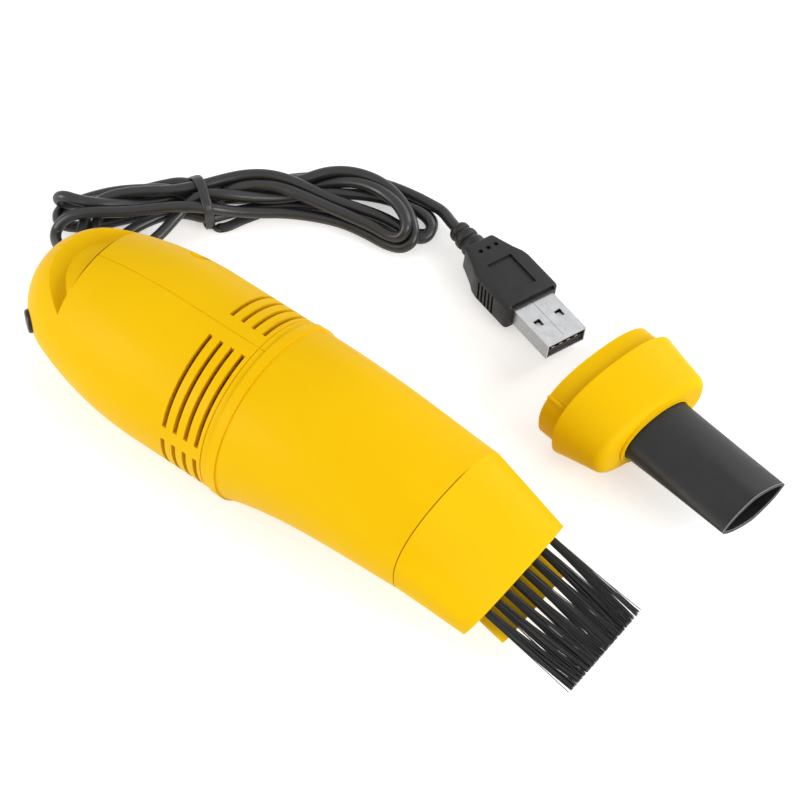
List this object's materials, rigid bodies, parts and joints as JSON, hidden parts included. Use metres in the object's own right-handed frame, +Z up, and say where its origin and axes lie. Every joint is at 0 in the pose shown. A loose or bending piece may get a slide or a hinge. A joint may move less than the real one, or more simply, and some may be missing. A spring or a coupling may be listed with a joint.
{
  "type": "desktop mini vacuum cleaner",
  "caption": "Small handheld keyboard vacuum cleaner: domed motor housing, pull-off dust cup, brush head, USB lead in a tied hank, and a spare flat nozzle beside it.",
  "frame": {"origin": "on the table under the joint between the motor housing and the dust cup, in the plane of symmetry", "axes": "+X from the dome to the brush, along the housing's axis; +Y to the left, the side of the spare nozzle and the hank; +Z up from the table"},
  "size_m": [0.1979, 0.1081, 0.046],
  "materials": {
    "yellow_abs": "satin moulded",
    "black_button": "satin",
    "black_tube": "fine matt moulded",
    "plug_body": "fine matt moulded",
    "black_rubber": "matt",
    "cord_jacket": "satin",
    "tie_wire": "satin",
    "bristle": "fibrous",
    "motor_steel": "plated",
    "shaft_steel": "ground",
    "screw_steel": "plated",
    "plug_steel": "nickel plated",
    "contact_brass": "gold plated",
    "terminal_brass": "tinned",
    "magnet_ferrite": "matt",
    "armature_steel": "lacquered",
    "white_plastic": "matt",
    "filter_cloth": "woven"
  },
  "bodies": {
    "body": {"housing_right": "yellow_abs", "housing_left": "yellow_abs", "spare_nozzle_cap": "yellow_abs", "housing_screws": "screw_steel", "motor_can": "motor_steel", "motor_end_cap": "white_plastic", "motor_terminals": "terminal_brass", "motor_magnets": "magnet_ferrite", "motor_mount": "yellow_abs", "fan_shroud": "yellow_abs", "filter_frame": "white_plastic", "filter_mesh": "filter_cloth", "seal_ring": "black_rubber", "switch_body": "black_button", "cord_gland": "black_rubber", "spare_nozzle_tube": "black_tube", "usb_overmold": "plug_body", "usb_shell": "plug_steel", "usb_insulator": "white_plastic", "usb_contacts": "contact_brass", "cord_lead": "cord_jacket", "cord_tail": "cord_jacket", "cord_hank": "cord_jacket", "cord_tie": "tie_wire"},
    "fan": {"motor_shaft": "shaft_steel", "motor_armature": "armature_steel", "fan_impeller": "yellow_abs"},
    "button": {"switch_button": "black_button"},
    "cup": {"dust_cup": "yellow_abs"},
    "head": {"brush_head": "yellow_abs", "bristle_tufts": "bristle"}
  },
  "joints": [
    {"name": "fan_spin", "type": "hinge", "parent": "body", "child": "fan", "pos_m": [0, 0, 0.0226], "axis": [1, 0, 0], "continuous": true},
    {"name": "button_press", "type": "slide", "parent": "body", "child": "button", "axis": [0.6, 0.8, 0], "range_m": [0, 0.0015], "stiffness_N_per_m": 200, "springref_m": -0.002},
    {"name": "cup_pull", "type": "slide", "parent": "body", "child": "cup", "axis": [1, 0, 0], "range_m": [0, 0.04]},
    {"name": "head_pull", "type": "slide", "parent": "cup", "child": "head", "axis": [1, 0, 0], "range_m": [0, 0.02]}
  ]
}
